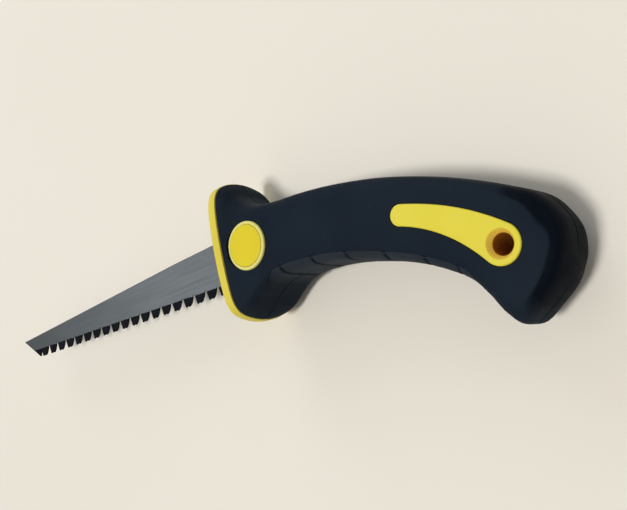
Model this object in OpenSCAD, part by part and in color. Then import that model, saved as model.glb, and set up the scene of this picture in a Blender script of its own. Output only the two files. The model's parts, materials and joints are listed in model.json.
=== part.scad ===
// Drywall saw with a push-button blade release.
// Drawn lying on its side: the blade points along -X, the teeth along -Y, the button side is up.
// All dimensions are in millimetres.

/* [Blade] */
// Length of the blade in front of the face plate
blade_reach = 167.4; // [160:0.2:200]
// Sheet thickness of the blade
blade_t = 1.2; // [1:0.1:1.4]
// Distance between two tooth blocks
tooth_pitch = 7.5; // [6:0.1:9]
// Height of the blade above the tang's middle, at the face plate
blade_rise = 11.2; // [9:0.1:13]
// Height of the tang
tang_h = 11; // [9:0.1:11]
// Length of the tang behind the blade's shoulder
tang_len = 40; // [34:0.5:40.5]
// Radius of the hole in the tang that the latch peg drops into
tang_hole_r = 2.6; // [2.3:0.05:2.8]

/* [Guard] */
// Half height of the guard's rim
rim_half_h = 28.75; // [27:0.05:32]
// Half width of the guard's rim, the widest place of the saw
rim_half_w = 18.15; // [17:0.05:21]
// Sharpness of the corners on the rim's spine side: 4 is well rounded, 10 is nearly sharp
rim_power = 8; // [6:0.5:10]
// Sharpness of the corners on its teeth side
rim_low_power = 9; // [7:0.5:11]
// Thickness of the face plate
plate_t = 4.4; // [3:0.1:6]

/* [Handle] */
// Half thickness of the handle
grip_half_t = 14; // [13.5:0.1:15]
// Squareness of the handle's section
grip_power = 5; // [4:0.1:6]
// Wall between the outer surface and the hollow, across the thickness
side_wall = 3; // [2.5:0.1:3.5]
// Width of the soft strip along the belly, measured on the side face
soft_band = 3.2; // [2.8:0.1:4.5]
// Depth of the finger grooves across the soft strip
groove_depth = 0.8; // [0.3:0.1:1.2]
// Distance that the yellow inlays stand proud of the side faces
inlay_proud = 0.3; // [0:0.1:0.8]
// Radius of the hanging hole
hang_r = 3.6; // [3:0.1:4.2]

/* [Button] */
// Outer radius of the button's bezel
bezel_r = 9.5; // [9.4:0.1:9.6]
// Radius of the button's cap
cap_r = 8.15; // [8:0.05:8.2]
// Travel of the button
press = 2.5; // [2:0.1:2.7]

/* [Fasteners] */
// Shank radius of the screws that join the two shells
screw_r = 1.5; // [1.3:0.1:1.6]
// Head radius of those screws
head_r = 2.9; // [2.6:0.1:2.9]

/* [Hidden] */
$fn = 64;
eps = 0.01;

// Clearances
slide_gap = 0.15;
seat_gap = 0.05;

// The button's axis, which is also the middle of the tang's height
hub_x = 11.2;
hub_y = -2.2;

// The blade's shoulder, just in front of the face plate
shoulder_x = -plate_t - 0.2;

// Places along Z
hollow_z = grip_half_t - side_wall;
bezel_z = 14.7;
yoke_top_z = 10.9;
yoke_t = 2.1;
leaf_top_z = -4.1;
leaf_t = 0.6;

// Middle of the rim's height
rim_y = -0.25;

// The loft of the handle. Each row joins a point on the spine side to a point on the belly side:
// [spine x, spine y, belly x, belly y, half thickness, squareness at the spine, squareness at the belly]
hand = [
    [0, rim_y + rim_half_h, 0, rim_y - rim_half_h + 0.2, rim_half_w - 0.7, rim_power, rim_low_power],
    [2.3, 25.3, 2.5, -27.5, rim_half_w - 1.6, 5.5, 8],
    [5, 20.6, 5.7, -25.3, grip_half_t + 1.8, 4, 9],
    [10, 16.3, 10.8, -21.4, grip_half_t + 1.2, 3.6, 9],
    [17, 13.6, 17.5, -18, grip_half_t + 0.7, 4, 7.5],
    [26, 12, 26, -16.9, grip_half_t + 0.3, 4.5, 5.5],
    [37, 10.95, 36, -17.4, grip_half_t, grip_power, grip_power],
    [49, 9.3, 47, -18.9, grip_half_t, grip_power, grip_power],
    [61, 6.95, 57.5, -21.5, grip_half_t, grip_power, grip_power],
    [73, 3.9, 69.5, -25.3, grip_half_t, grip_power, grip_power],
    [85, -0.1, 80.5, -29.6, grip_half_t, grip_power, grip_power],
    [97, -4.8, 90.3, -34.9, grip_half_t, grip_power, grip_power],
    [108, -10, 97.9, -40.4, grip_half_t, grip_power, grip_power],
    [117, -14.9, 102.6, -46.9, grip_half_t, grip_power, grip_power],
    [124, -19.3, 106.1, -53.2, grip_half_t - 0.1, 4.7, grip_power],
    [128.2, -24.8, 110.2, -57.6, grip_half_t - 0.5, 3.9, 3.8],
    [130.6, -31, 116, -54.6, grip_half_t - 1.2, 3.6, 3.2],
    [130.1, -37, 122.2, -50.2, grip_half_t - 3.2, 3.4, 3],
    [129.2, -40.2, 125.8, -46.6, 6.2, 3, 3],
    [128.6, -42, 127.7, -43.9, 2, 2.5, 2.5]
];
last_row = len(hand) - 1;

// Rows of the loft at which features begin and end
grip_from = 3.7;
grip_to = 12.6;
hollow_from = 4.6;
hollow_to = 15;
groove_rows = [4.8, 6.25, 7.65, 9, 10.35, 11.55];

// Screws through both shells, as [x, y]
screw_places = [[7, 13.2], [7, -17.2], [61, -7.4], [113.5, -46.5]];
screw_seat_z = 8;
screw_len = 16;

// Screws that hold the blade guide and the latch spring: place along X, and distance either side of the hub
latch_screw_x = 39.5;
latch_screw_y = 3.6;

// The plunger's two legs: distance either side of the hub, and half thickness
leg_y = 6.65;
leg_half_t = 0.7;

// The hanging hole, and the inlay that runs from a small round end to the large one around the hole
hang_x = 112.1;
hang_y = -32.8;
hang_flare = 1.1;
inlay_start = [79.9, -12.9];
inlay_r1 = 3.75;
inlay_r2 = 6.8;
inlay_bow = 2.45;
inlay_growth = 1.6;
inlay_floor_z = grip_half_t - 1.8;

// Smooth curve through four neighbouring rows, from b at t = 0 to c at t = 1
function blend(a, b, c, d, t) =
    0.5 * (2 * b + (c - a) * t + (2 * a - 5 * b + 4 * c - d) * t * t
        + (3 * b - a - 3 * c + d) * t * t * t);
function row_at(s) =
    let (i = min(floor(s), last_row - 1), t = s - i)
    blend(hand[max(i - 1, 0)], hand[i], hand[i + 1], hand[min(i + 2, last_row)], t);
function spine_at(s) = let (r = row_at(s)) [r[0], r[1]];
function belly_at(s) = let (r = row_at(s)) [r[2], r[3]];
function unit(v) = v / norm(v);
function spaced(from, to, n) = [for (i = [0:n - 1]) from + (to - from) * i / (n - 1)];

// Angles round a quarter of a ring, closest together at its corner
quarter_steps = 8;
quarter = [for (k = [0:quarter_steps - 1])
    let (t = 2 * k / quarter_steps - 1) 45 * (1 + sign(t) * pow(abs(t), 1.4))];
half_turn = concat(quarter, [for (a = quarter) 90 + a], [180]);
full_turn = concat([for (k = [0:15]) half_turn[k]], [for (k = [0:15]) 180 + half_turn[k]]);

// How far the ring's four sides bow out between its corners, as a share of its size. At the rim the
// sides are arcs, and by the third row of the loft they are flat.
top_bow = 0.16;
low_bow = 0.14;
side_bow = 0.09;
function bow_share(s) = pow(max(0, 1 - s / 3), 2);

// A place round a rounded rectangle of half sizes 1: [share of the height, share of the width]
function corner_point(a, top_p, low_p, bow) =
    let (c = cos(a), h = sin(a), p = c > 0 ? top_p : low_p,
        r = pow(pow(abs(c), p) + pow(abs(h), p), -1 / p), y = c * r, z = h * r,
        end_bow = (c > 0 ? top_bow : low_bow) * bow)
    [y * (1 - end_bow * z * z), z * (1 - side_bow * bow * y * y)];

// Depth of the finger grooves at a place along the loft
function groove_at(s) =
    groove_depth * max([for (g = groove_rows) let (d = (s - g) / 0.09) exp(-d * d)]);

// Half ring above the parting plane, from the spine round to the belly
function half_ring(s) =
    let (r = row_at(s), top = [r[0], r[1]], low = [r[2], r[3]],
        mid = (top + low) / 2, arm = (top - low) / 2)
    [for (a = half_turn)
        let (q = corner_point(a, r[5], r[6], bow_share(s)), flat = mid + arm * q[0])
        [flat.x, flat.y, a == 0 || a == 180 ? 0 : r[4] * q[1]]];

// A closed solid through a list of rings with equal numbers of points
module loft(rings) {
    n = len(rings[0]);
    m = len(rings);
    sides = [for (i = [0:m - 2], j = [0:n - 1])
        let (k = (j + 1) % n)
        each [[i * n + k, i * n + j, (i + 1) * n + k], [(i + 1) * n + k, i * n + j, (i + 1) * n + j]]];
    ends = [[for (j = [0:n - 1]) j], [for (j = [n - 1:-1:0]) (m - 1) * n + j]];
    polyhedron(points = [for (r = rings) each r], faces = concat(sides, ends), convexity = 8);
}

// Outermost points, which place the origin at the bottom centre of the box around the saw
hand_rings = [for (s = [0:0.5:last_row]) half_ring(s)];
butt_x = max([for (r = hand_rings) for (p = r) p.x]);
hook_y = min([for (r = hand_rings) for (p = r) p.y]);
tip_x = -plate_t - blade_reach;
mid_x = (butt_x + tip_x) / 2;
mid_y = (rim_y + rim_half_h + hook_y) / 2;

module place() {
    translate([-mid_x, -mid_y, rim_half_w]) children();
}

module at_hub() {
    translate([hub_x, hub_y, 0]) children();
}

module tube(r_out, r_in, z_from, z_to) {
    translate([0, 0, z_from]) difference() {
        cylinder(r = r_out, h = z_to - z_from);
        translate([0, 0, -1]) cylinder(r = r_in, h = z_to - z_from + 2);
    }
}

// A box given by its lowest and highest corners
module block(low, high) {
    translate(low) cube(high - low);
}

// ---------------------------------------------------------------- blade

tooth_x0 = tip_x + 14.5;
block_count = floor((-plate_t - 8 - tooth_x0) / tooth_pitch);
root_y0 = -5.1;
root_slope = -0.031;
tooth_h0 = 4.3;
tooth_growth = -0.0022;
function root_y(x) = root_y0 + root_slope * (x - tooth_x0);
function point_y(x) = root_y(x) - tooth_h0 - tooth_growth * (x - tooth_x0);

// One block, from the gullet in front of it: a steep front, two points with a nick between them,
// and a curved back. A narrow gullet follows it. Each pair is a share of the pitch along X and of the
// depth along Y.
tooth_shape = [[0, 0], [0.03, 0.3], [0.12, 1], [0.26, 0.87], [0.4, 1], [0.53, 0.88],
    [0.66, 0.6], [0.75, 0.27], [0.8, 0]];
function tooth_block(i) =
    let (x = tooth_x0 + i * tooth_pitch, depth = root_y(x) - point_y(x))
    [for (t = tooth_shape) [x + t.x * tooth_pitch, root_y(x + t.x * tooth_pitch) - t.y * depth]];

module blade() {
    spine = hub_y + blade_rise;
    tip_y = 1.2;
    half_tang = tang_h / 2;
    tang_end = shoulder_x + tang_len;
    outline = concat(
        [[tip_x, tip_y], [tip_x + 12.8, -9], [tooth_x0 - 0.4, root_y(tooth_x0) - 0.5]],
        [for (i = [0:block_count - 1]) each tooth_block(i)],
        [[shoulder_x, root_y(shoulder_x)], [shoulder_x, hub_y - half_tang],
            [tang_end - 2, hub_y - half_tang], [tang_end, hub_y - half_tang + 2],
            [tang_end, hub_y + half_tang - 2], [tang_end - 2, hub_y + half_tang],
            [shoulder_x, hub_y + half_tang], [shoulder_x, spine],
            [shoulder_x - 18, spine - 0.4], [shoulder_x - 41, spine - 1.2]]);
    color("slategray") difference() {
        translate([0, 0, -blade_t / 2]) linear_extrude(height = blade_t) polygon(outline);
        at_hub() translate([0, 0, -3]) cylinder(r = tang_hole_r, h = 6);
    }
}

// ---------------------------------------------------------------- guard

module slot(half_h, half_t, x_from, x_to) {
    block([x_from, hub_y - half_h, -half_t], [x_to, hub_y + half_h, half_t]);
}

// Full ring of the rim, shrunk by a margin, at a place along X
function rim_ring(x, margin) =
    [for (a = full_turn) let (q = corner_point(a, rim_power, rim_low_power, 1))
        [x, rim_y + (rim_half_h - margin) * q[0], (rim_half_w - margin) * q[1]]];

neck_h = 7.4;
lip_h = 8.6;
module face_plate() {
    color("gold") difference() {
        union() {
            loft([rim_ring(-plate_t, 1.6), rim_ring(-plate_t + 0.3, 0.85), rim_ring(-plate_t + 0.9, 0.25),
                rim_ring(-plate_t + 1.6, 0), rim_ring(0, 0)]);
            slot(neck_h, 4.2, -1, 4.3);
            slot(lip_h, 4.9, 4.25, 6.4);
        }
        slot(tang_h / 2 + 1.15, blade_t / 2 + 0.9, -plate_t - 1, 8);
    }
}

module slot_liner() {
    color("silver") difference() {
        slot(tang_h / 2 + 1.1, blade_t / 2 + 0.85, -plate_t + 0.2, 6.2);
        slot(tang_h / 2 + 0.25, blade_t / 2 + slide_gap, -plate_t - 1, 8);
    }
}

// ---------------------------------------------------------------- shells

module half_body() {
    loft([for (s = [0:0.5:last_row]) half_ring(s)]);
}

// Line a given distance inside the belly, which comes out to the belly at both ends
function band_width(s) =
    soft_band * min(1, max(0.2, (s - grip_from) / 0.7), max(0.2, (grip_to - s) / 0.7));
function band_edge(s, extra) =
    let (low = belly_at(s), into = unit(spine_at(s) - low)) low + into * (band_width(s) + extra);
module soft_zone(gap) {
    rows = concat([grip_from], strip_rows, [grip_to]);
    outer = [for (s = rows) let (low = belly_at(s)) low - unit(spine_at(s) - low) * 3];
    inner = [for (i = [len(rows) - 1:-1:0]) band_edge(rows[i], -gap)];
    translate([0, 0, -1]) linear_extrude(height = grip_half_t + 6) polygon(concat(outer, inner));
}

// Outline of the hollow: inside the spine wall, and inside the soft strip on the belly side
module hollow_outline() {
    rows = [for (s = [hollow_from:0.4:hollow_to + 0.01]) s];
    high = [for (s = rows) let (t = spine_at(s)) t + unit(belly_at(s) - t) * 3];
    low = [for (i = [len(rows) - 1:-1:0]) band_edge(rows[i], rows[i] < grip_to - 0.4 ? 2.4 : 3)];
    polygon(concat(high, low));
}

// Outline swept by a circle that grows along a bowed line
inlay_chord = [hang_x, hang_y] - inlay_start;
inlay_side = [-inlay_chord.y, inlay_chord.x] / norm(inlay_chord);
inlay_steps = 16;
function inlay_run(t) = inlay_chord + inlay_side * inlay_bow * 4 * (1 - 2 * t);
function inlay_heading(t) = atan2(inlay_run(t).y, inlay_run(t).x);
function inlay_swing(t) =
    90 + asin((inlay_r2 - inlay_r1) * inlay_growth * pow(t, inlay_growth - 1) / norm(inlay_run(t)));
function inlay_edge(t, turn, grow) =
    inlay_start + inlay_chord * t + inlay_side * inlay_bow * 4 * t * (1 - t)
    + (inlay_r1 + (inlay_r2 - inlay_r1) * pow(t, inlay_growth) + grow)
        * [cos(inlay_heading(t) + turn), sin(inlay_heading(t) + turn)];
module inlay_outline(grow) {
    n = inlay_steps;
    polygon(concat(
        [for (i = [0:n]) inlay_edge(i / n, inlay_swing(i / n), grow)],
        [for (i = [1:n - 1]) inlay_edge(1, inlay_swing(1) * (1 - 2 * i / n), grow)],
        [for (i = [n:-1:0]) inlay_edge(i / n, -inlay_swing(i / n), grow)],
        [for (i = [1:n - 1]) inlay_edge(0, -90 - 180 * i / n, grow)]));
}

// What both shells share, drawn above the parting plane
module shell_blank() {
    difference() {
        union() {
            difference() {
                half_body();
                translate([0, 0, -1]) linear_extrude(height = hollow_z + 1) hollow_outline();
                block([4.2, -12, -1], [25, 8.5, hollow_z]);
            }
            translate([screw_places[2].x, screw_places[2].y, 0]) cylinder(r = 4.6, h = hollow_z + 1);
            translate([screw_places[3].x, screw_places[3].y, 0]) cylinder(r = 4.6, h = hollow_z + 1);
            translate([hang_x, hang_y, 0]) cylinder(r = 7.2, h = hollow_z + 1);
            for (s = [8.2, 10, 12.2]) cross_rib(s);
        }
        soft_zone(0);
        slot(neck_h + seat_gap, 4.2 + seat_gap, -1, 4.25);
        translate([0, 0, inlay_floor_z]) linear_extrude(height = 4) inlay_outline(seat_gap);
        translate([hang_x, hang_y, -1]) cylinder(r = hang_r + 1.25, h = grip_half_t + 3);
    }
}

// Stiffening rib across the hollow
module cross_rib(s) {
    top = spine_at(s);
    low = belly_at(s);
    reach = norm(top - low) - 9;
    middle = top + unit(low - top) * (2.5 + reach / 2);
    turn = atan2(top.y - low.y, top.x - low.x);
    translate([middle.x, middle.y, 1]) rotate(turn)
        translate([-reach / 2, -0.8, 0]) cube([reach, 1.6, hollow_z]);
}

module upper_shell() {
    color("#20242c") difference() {
        union() {
            shell_blank();
            for (x = [23, 31]) block([x - 1, hub_y - 7, 2.25], [x + 1, hub_y + 7, hollow_z + 1]);
        }
        for (p = screw_places) translate([p.x, p.y, -1]) cylinder(r = screw_r - 0.2, h = 10.5);
        at_hub() translate([0, 0, yoke_top_z - yoke_t - press - 0.4])
            cylinder(r = cap_r + 0.95, h = press + yoke_t + 0.6);
        at_hub() cylinder(r = cap_r + 0.85, h = 20);
        at_hub() translate([0, 0, bezel_z]) cylinder(r = bezel_r + 0.1, h = 5);
    }
}

module lower_shell() {
    color("#20242c") difference() {
        union() {
            mirror([0, 0, 1]) shell_blank();
            for (x = [23, 31], side = [-1, 1])
                translate([x, hub_y + side * 5.9, 0]) block([-1, -1.1, -hollow_z - 1], [1, 1.1, -2.25]);
            block([35.5, hub_y - 6.9, -hollow_z - 1], [43.5, hub_y + 6.9, leaf_top_z - leaf_t - seat_gap]);
        }
        for (p = screw_places) translate([p.x, p.y, -20]) {
            cylinder(r = screw_r + 0.1, h = 21);
            cylinder(r = head_r + 0.2, h = 20 - screw_seat_z);
        }
        for (side = [-1, 1])
            translate([latch_screw_x, hub_y + side * latch_screw_y, -10.2]) cylinder(r = 1.3, h = 8);
    }
}

// ---------------------------------------------------------------- soft strips and inlays

// Rows at which the strip is drawn: close together across each groove, three more between grooves
groove_offsets = [-0.2, -0.12, -0.06, 0, 0.06, 0.12, 0.2];
last_groove = len(groove_rows) - 1;
strip_rows = concat(
    spaced(grip_from + 0.01, groove_rows[0] - 0.35, 4),
    [for (i = [0:last_groove]) each concat(
        [for (d = groove_offsets) groove_rows[i] + d],
        i < last_groove ? spaced(groove_rows[i] + 0.4, groove_rows[i + 1] - 0.4, 3) : [])],
    spaced(groove_rows[last_groove] + 0.35, grip_to - 0.01, 4));
strip_steps = 9;

// Section of the strip: up its flat inner wall, then round the belly and down to the parting plane
function strip_ring(s) =
    let (r = row_at(s), top = [r[0], r[1]], low = [r[2], r[3]], reach = norm(top - low) / 2,
        mid = (top + low) / 2, arm = (top - low) / 2, p = r[6], dip = groove_at(s),
        inner = 1 - (band_width(s) - seat_gap) / reach, start = acos(-pow(inner, p / 2)),
        foot = mid - arm * inner)
    concat([[foot.x, foot.y, 0]], [for (k = [0:strip_steps])
        let (a = start + (180 - start) * k / strip_steps, along = -pow(abs(cos(a)), 2 / p),
            up = k == strip_steps ? 0 : pow(sin(a), 2 / p),
            flat = mid + arm * along - unit(arm) * along * dip * k / strip_steps)
        [flat.x, flat.y, r[4] * up - dip * up * up]]);

module half_strip() {
    loft([for (s = strip_rows) strip_ring(s)]);
}

module upper_grip() {
    color("#2c3139") half_strip();
}

module lower_grip() {
    color("#2c3139") mirror([0, 0, 1]) half_strip();
}

module inlay() {
    difference() {
        translate([0, 0, inlay_floor_z]) linear_extrude(height = grip_half_t + inlay_proud - inlay_floor_z)
            inlay_outline(0);
        translate([hang_x, hang_y, inlay_floor_z - eps])
            cylinder(r1 = hang_r, r2 = hang_r + hang_flare,
                h = grip_half_t + inlay_proud - inlay_floor_z + 2 * eps);
    }
}

module upper_inlay() {
    color("gold") inlay();
}

module lower_inlay() {
    color("gold") mirror([0, 0, 1]) inlay();
}

module hang_sleeve() {
    color("gold") translate([hang_x, hang_y, 0])
        tube(hang_r + 1.2, hang_r, -inlay_floor_z + seat_gap, inlay_floor_z - seat_gap);
}

// ---------------------------------------------------------------- button

module button_bezel() {
    color("gold") at_hub() {
        tube(cap_r + 0.8, cap_r + 0.1, yoke_top_z + 0.1, bezel_z + eps);
        translate([0, 0, bezel_z]) rotate_extrude()
            polygon([[cap_r + 0.1, 0], [bezel_r, 0], [bezel_r, 0.5], [bezel_r - 0.3, 0.85],
                [bezel_r - 0.7, 1], [cap_r + 0.4, 1], [cap_r + 0.1, 0.75]]);
    }
}

// Cap with a shallow dome and a blind hole underneath
module button_cap() {
    color("gold") at_hub() difference() {
        translate([0, 0, yoke_top_z]) rotate_extrude()
            polygon([[0, 0], [cap_r, 0], [cap_r, 4.15], [cap_r - 0.2, 4.45], [cap_r - 0.7, 4.65],
                [cap_r * 0.6, 4.9], [cap_r * 0.3, 5.05], [0, 5.1]]);
        translate([0, 0, yoke_top_z - 1]) cylinder(r = 3.05, h = 3.6);
    }
}

// Plunger whose two legs pass above and below the tang and bear on the latch spring
module button_yoke() {
    leg_low_z = leaf_top_z + 0.1;
    color("dimgray") at_hub() {
        translate([0, 0, yoke_top_z - yoke_t]) cylinder(r = cap_r + 0.65, h = yoke_t);
        translate([0, 0, yoke_top_z - eps]) cylinder(r = 3, h = 2.5);
        for (side = [-1, 1])
            block([-2.8, side * leg_y - leg_half_t, leg_low_z],
                [2.8, side * leg_y + leg_half_t, yoke_top_z - yoke_t + eps]);
    }
}

// ---------------------------------------------------------------- blade guide and latch

module blade_guide() {
    color("silver") difference() {
        union() {
            slot(7.1, 2.2, 6.7, 34);
            block([32.8, hub_y - 5.5, leaf_top_z], [34, hub_y + 5.5, -1]);
            block([32.8, hub_y - 6.9, leaf_top_z], [43, hub_y + 6.9, leaf_top_z + 1.2]);
        }
        slot(tang_h / 2 + 0.25, blade_t / 2 + slide_gap, 5, 36);
        for (side = [-1, 1]) at_hub()
            block([-3.4, side * leg_y - leg_half_t - 0.25, -3], [3.4, side * leg_y + leg_half_t + 0.25, 3]);
        at_hub() translate([0, 0, -3]) cylinder(r = tang_hole_r + 0.1, h = 3);
        for (side = [-1, 1])
            translate([latch_screw_x, hub_y + side * latch_screw_y, -6]) cylinder(r = 1.4, h = 5);
    }
}

module latch_spring() {
    color("lightsteelblue") difference() {
        translate([0, 0, leaf_top_z - leaf_t]) linear_extrude(height = leaf_t) difference() {
            union() {
                translate([hub_x - 4.6, hub_y - 4]) square([31.2, 8]);
                translate([hub_x - 3.2, hub_y - 7.5]) square([6.4, 15]);
                translate([35.8, hub_y - 6.8]) square([7.2, 13.6]);
            }
            for (side = [-1, 1]) translate([latch_screw_x, hub_y + side * latch_screw_y]) circle(r = 1.4);
            translate([hub_x, hub_y]) circle(r = 1.55);
        }
    }
}

// Peg with a riveted tail, held in the spring's hole
module latch_peg() {
    peg_r = tang_hole_r - 0.1;
    color("silver") at_hub() {
        translate([0, 0, leaf_top_z]) cylinder(r = peg_r, h = -leaf_top_z + 0.2);
        translate([0, 0, 0.2]) cylinder(r1 = peg_r, r2 = peg_r - 0.4, h = 0.35);
        translate([0, 0, leaf_top_z - leaf_t]) cylinder(r = 1.5, h = leaf_t + eps);
        translate([0, 0, leaf_top_z - leaf_t - 0.7]) cylinder(r1 = 1.7, r2 = 2.3, h = 0.7);
    }
}

// Screw pointing along -Z, with a cross recess, from the underside of its head
module screw(shank_r, length, cap_head_r, head_h) {
    difference() {
        union() {
            translate([0, 0, -length]) cylinder(r = shank_r, h = length + eps);
            cylinder(r = cap_head_r, h = head_h * 0.6);
            translate([0, 0, head_h * 0.6 - eps])
                cylinder(r1 = cap_head_r, r2 = cap_head_r * 0.72, h = head_h * 0.4);
        }
        for (a = [0, 90]) rotate(a)
            translate([-cap_head_r * 0.55, -0.3, head_h * 0.45]) cube([cap_head_r * 1.1, 0.6, head_h]);
    }
}

module latch_screws() {
    color("silver") for (side = [-1, 1])
        translate([latch_screw_x, hub_y + side * latch_screw_y, leaf_top_z + 1.2]) screw(1.25, 6.6, 2.4, 1.5);
}

module handle_screws() {
    color("silver") for (p = screw_places)
        translate([p.x, p.y, -screw_seat_z]) mirror([0, 0, 1]) screw(screw_r - 0.25, screw_len, head_r, 2.2);
}

place() blade();
place() face_plate();
place() slot_liner();
place() upper_shell();
place() lower_shell();
place() upper_grip();
place() lower_grip();
place() upper_inlay();
place() lower_inlay();
place() hang_sleeve();
place() button_cap();
place() button_yoke();
place() button_bezel();
place() blade_guide();
place() latch_spring();
place() latch_peg();
place() latch_screws();
place() handle_screws();
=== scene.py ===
"""Looks for the drywall saw: shells, soft strips, inlays, guard, button, blade and every material."""
import json
import math
import bmesh
import bpy
from mathutils import Matrix, Vector


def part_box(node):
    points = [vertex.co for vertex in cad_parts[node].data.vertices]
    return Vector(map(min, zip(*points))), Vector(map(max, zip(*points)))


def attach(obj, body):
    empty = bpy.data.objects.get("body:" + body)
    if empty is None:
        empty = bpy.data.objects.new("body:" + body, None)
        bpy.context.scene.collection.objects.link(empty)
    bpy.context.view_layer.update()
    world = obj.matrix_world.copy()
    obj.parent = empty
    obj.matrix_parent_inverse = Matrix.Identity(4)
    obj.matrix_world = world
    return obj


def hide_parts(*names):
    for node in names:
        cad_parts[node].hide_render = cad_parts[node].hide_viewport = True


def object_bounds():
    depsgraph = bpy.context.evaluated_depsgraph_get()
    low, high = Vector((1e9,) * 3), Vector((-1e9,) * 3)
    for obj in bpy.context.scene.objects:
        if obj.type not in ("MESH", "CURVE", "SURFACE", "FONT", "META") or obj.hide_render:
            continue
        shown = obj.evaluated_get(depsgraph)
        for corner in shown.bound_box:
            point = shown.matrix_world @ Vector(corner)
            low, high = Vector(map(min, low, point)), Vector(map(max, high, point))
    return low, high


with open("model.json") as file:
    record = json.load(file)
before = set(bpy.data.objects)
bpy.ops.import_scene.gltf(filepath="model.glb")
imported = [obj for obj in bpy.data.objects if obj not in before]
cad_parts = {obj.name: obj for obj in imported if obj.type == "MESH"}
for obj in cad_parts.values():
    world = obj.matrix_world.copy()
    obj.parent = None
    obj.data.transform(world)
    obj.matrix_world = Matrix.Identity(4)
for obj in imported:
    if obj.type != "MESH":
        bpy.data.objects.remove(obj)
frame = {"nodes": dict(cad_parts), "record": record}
cad_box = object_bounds()
record = frame["record"]

MM = 0.001

# Sizes in millimetres, in the frame the handle is drawn in: x from the back of the guard plate
# towards the butt, y towards the spine, z from the parting plane towards the button.
RIM_Y = -0.25
RIM_HALF_H = 28.75
RIM_HALF_W = 18.15
RIM_POWER = 8.0
RIM_LOW_POWER = 9.0
TOP_BOW = 0.16
LOW_BOW = 0.14
SIDE_BOW = 0.09
PLATE_T = 4.4
GRIP_HALF_T = 14.0
GRIP_POWER = 5.0
HOLLOW_Z = 11.0
HUB = (11.2, -2.2)
CAP_R = 8.15
BEZEL_R = 9.5
BEZEL_Z = 14.7
YOKE_TOP_Z = 10.9
HANG = (112.1, -32.8)
HANG_R = 3.6
HANG_FLARE = 1.1
SCREWS = [(7, 13.2), (7, -17.2), (61, -7.4), (113.5, -46.5)]
SCREW_R = 1.5
SCREW_HEAD_R = 2.9
SCREW_SEAT_Z = 8.0
BLADE_T = 1.2
TANG_H = 11.0
# Half sizes of the face plate's neck and of the lip behind the shells' front wall, as (along y, along z)
NECK = (7.4, 4.2)
LIP = (8.6, 4.9)
# Clearance between pieces that sit in one another
SEAT_GAP = 0.05
GUIDE_RIBS_X = (23, 31)
LATCH_SCREW_X = 39.5
LATCH_SCREW_Y = 3.6

# Loose parts with fewer faces than this are scraps
SCRAP_FACES = 12

shell_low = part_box("upper_shell")[0]
plate_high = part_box("face_plate")[1]
ORIGIN = Vector((shell_low.x, plate_high.y - (RIM_Y + RIM_HALF_H) * MM, shell_low.z))
PLACE = Matrix.Translation(ORIGIN) @ Matrix.Scale(MM, 4)


# ---------------------------------------------------------------- mesh helpers

def new_object(name, points, faces):
    mesh = bpy.data.meshes.new(name)
    mesh.from_pydata([tuple(p) for p in points], [], faces)
    mesh.update()
    obj = bpy.data.objects.new(name, mesh)
    bpy.context.scene.collection.objects.link(obj)
    turn_faces_out(obj)
    return obj


def turn_faces_out(obj):
    shape = bmesh.new()
    shape.from_mesh(obj.data)
    bmesh.ops.remove_doubles(shape, verts=shape.verts, dist=1e-5)
    bmesh.ops.recalc_face_normals(shape, faces=shape.faces)
    shape.to_mesh(obj.data)
    shape.free()


def loft(name, rings):
    """A closed solid through rings with equal numbers of points."""
    n = len(rings[0])
    points = [p for ring in rings for p in ring]
    faces = []
    for i in range(len(rings) - 1):
        for j in range(n):
            k = (j + 1) % n
            faces.append((i * n + j, i * n + k, (i + 1) * n + k, (i + 1) * n + j))
    faces.append(tuple(range(n)))
    faces.append(tuple((len(rings) - 1) * n + j for j in range(n)))
    return new_object(name, points, faces)


def prism(name, outline, low, high):
    return loft(name, [[(x, y, z) for x, y in outline] for z in (low, high)])


def block(name, low, high):
    outline = [(low[0], low[1]), (high[0], low[1]), (high[0], high[1]), (low[0], high[1])]
    return prism(name, outline, low[2], high[2])


def lathe(name, profile, centre, steps=96):
    """A closed profile of (radius, z) pairs turned about an upright axis."""
    rings = []
    for i in range(steps):
        a = 2 * math.pi * i / steps
        rings.append([(centre[0] + r * math.cos(a), centre[1] + r * math.sin(a), z) for r, z in profile])
    n = len(profile)
    points = [p for ring in rings for p in ring]
    faces = []
    for i in range(steps):
        m = (i + 1) % steps
        for j in range(n):
            k = (j + 1) % n
            if profile[j][0] > 0 or profile[k][0] > 0:
                faces.append((i * n + j, i * n + k, m * n + k, m * n + j))
    return new_object(name, points, faces)


def disc(name, centre, radius, low, high, steps=64):
    return lathe(name, [(0, low), (radius, low), (radius, high), (0, high)], centre, steps)


def combine(target, tool, operation="DIFFERENCE"):
    """Cuts the tool from the target, or adds it, and drops the tool."""
    modifier = target.modifiers.new("combine", "BOOLEAN")
    modifier.operation = operation
    modifier.solver = "EXACT"
    modifier.object = tool
    bpy.context.view_layer.update()
    graph = bpy.context.evaluated_depsgraph_get()
    result = bpy.data.meshes.new_from_object(target.evaluated_get(graph))
    target.modifiers.clear()
    target.data = result
    bpy.data.objects.remove(tool)
    return target


def flip_to_lower(obj):
    """Mirrors an upper piece to the lower side of the parting plane."""
    obj.data.transform(Matrix.Scale(-1, 4, (0, 0, 1)))
    obj.data.flip_normals()
    return obj


def copy_of(obj, name):
    twin = bpy.data.objects.new(name, obj.data.copy())
    bpy.context.scene.collection.objects.link(twin)
    return twin


def body_with(nodes_by_body, node):
    for body, nodes in nodes_by_body.items():
        if node in nodes:
            return body


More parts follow.
